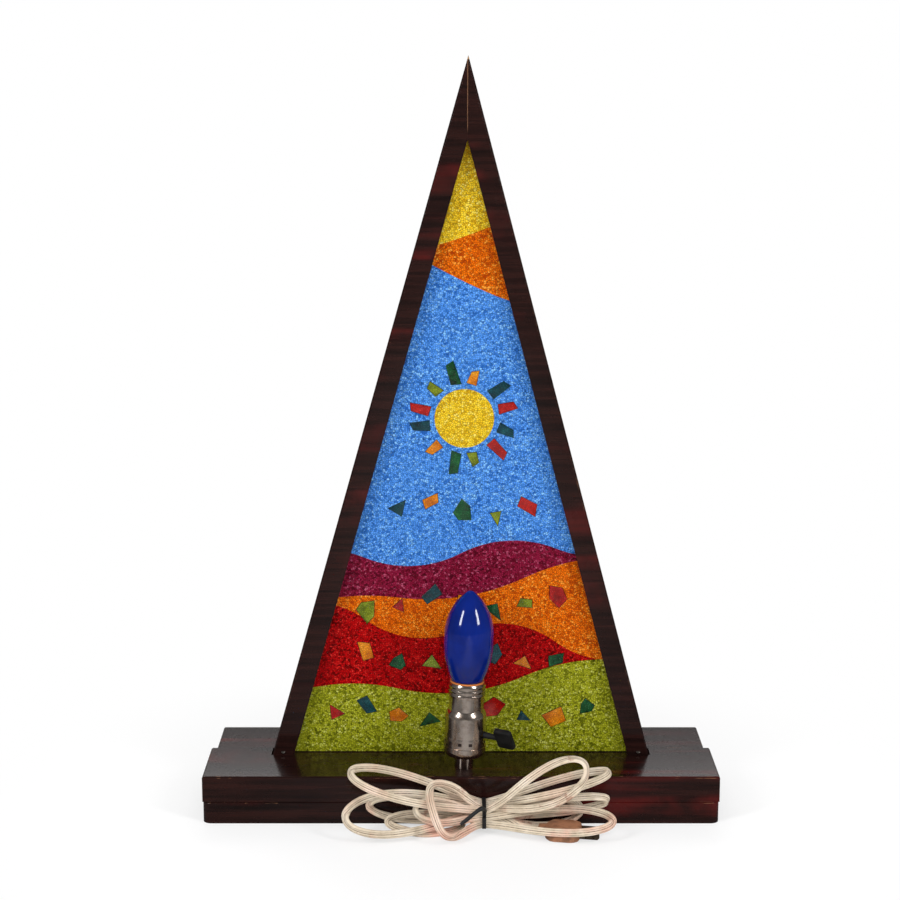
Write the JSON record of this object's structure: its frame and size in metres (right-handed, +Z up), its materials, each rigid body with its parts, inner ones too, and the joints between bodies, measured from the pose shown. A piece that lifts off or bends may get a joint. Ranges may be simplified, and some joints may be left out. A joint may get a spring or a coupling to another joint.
{
  "type": "accent lamp",
  "caption": "Table accent lamp: a tall triangular wood frame with a crushed-glass panel on a stacked wood base, lit from behind by a blue bulb in a turn-knob lampholder.",
  "frame": {"origin": "centre of the base's underside", "axes": "+X along the base, +Y from the bulb's side to the display side, +Z up"},
  "size_m": [0.432, 0.1832, 0.631],
  "materials": {
    "lacquered_wood": "stained nearly black-brown under a gloss lacquer, worn pale at the arrises",
    "fastener_steel": "dull plated steel",
    "clear_glass": "clear float glass",
    "grit_green": "bonded crushed glass, olive green",
    "grit_red": "bonded crushed glass, red",
    "grit_orange": "bonded crushed glass, orange",
    "grit_plum": "bonded crushed glass, plum",
    "grit_blue": "bonded crushed glass, blue",
    "grit_yellow": "bonded crushed glass, yellow",
    "shards_red": "broken coloured glass, red",
    "shards_teal": "broken coloured glass, dark teal",
    "shards_amber": "broken coloured glass, amber",
    "shards_green": "broken coloured glass, dark green",
    "shards_olive": "broken coloured glass, olive",
    "nickel_brass": "nickel-plated brass, dulled with age",
    "fibre": "vulcanised fibre, orange-brown",
    "phenolic": "brown-black moulded phenolic",
    "contact_brass": "bare brass",
    "knob_black": "black moulded plastic",
    "bulb_blue": "opaque blue ceramic coat, gloss",
    "bulb_aluminium": "screw cap",
    "bulb_clear": "clear glass stem",
    "filament": "tungsten wire",
    "cord_ivory": "ivory parallel cord, aged, with pinkish stains",
    "plug_ivory": "aged ivory moulding",
    "tie_black": "black plastic-covered wire tie"
  },
  "bodies": {
    "root": {"lower_board": "lacquered_wood", "rear_upper_board": "lacquered_wood", "front_upper_board": "lacquered_wood", "frame_left_leg": "lacquered_wood", "frame_right_leg": "lacquered_wood", "foot_nails": "fastener_steel", "base_screws": "fastener_steel", "glass_sheet": "clear_glass", "grit_green": "grit_green", "grit_red": "grit_red", "grit_orange": "grit_orange", "grit_plum": "grit_plum", "grit_blue": "grit_blue", "grit_yellow": "grit_yellow", "shards_red": "shards_red", "shards_teal": "shards_teal", "shards_amber": "shards_amber", "shards_green": "shards_green", "shards_olive": "shards_olive", "socket_cap": "nickel_brass", "socket_shell": "nickel_brass", "socket_liner": "fibre", "socket_body": "phenolic", "screw_shell": "contact_brass", "centre_contact": "contact_brass", "terminal_screws": "contact_brass", "nipple": "fastener_steel", "nipple_washer": "fastener_steel", "nipple_nut": "fastener_steel", "cord_inside": "cord_ivory", "cord_lead": "cord_ivory", "cord_hank": "cord_ivory", "cord_tail": "cord_ivory", "cord_tie": "tie_black", "plug_body": "plug_ivory", "plug_blades": "contact_brass"},
    "knob": {"switch_shaft": "contact_brass", "switch_knob": "knob_black"},
    "bulb": {"bulb_glass": "bulb_blue", "bulb_cap": "bulb_aluminium", "bulb_insulator": "phenolic", "bulb_contact": "contact_brass", "bulb_stem": "bulb_clear", "bulb_filament": "filament"}
  },
  "joints": [
    {"name": "knob_turn", "type": "hinge", "parent": "root", "child": "knob", "pos_m": [0.00364, -0.039, 0.07228], "axis": [0.8904, -0.454, -0.0327], "continuous": true},
    {"name": "bulb_out", "type": "slide", "parent": "root", "child": "bulb", "axis": [0.0366, 0, 0.9993], "range_m": [0, 0.04]}
  ]
}
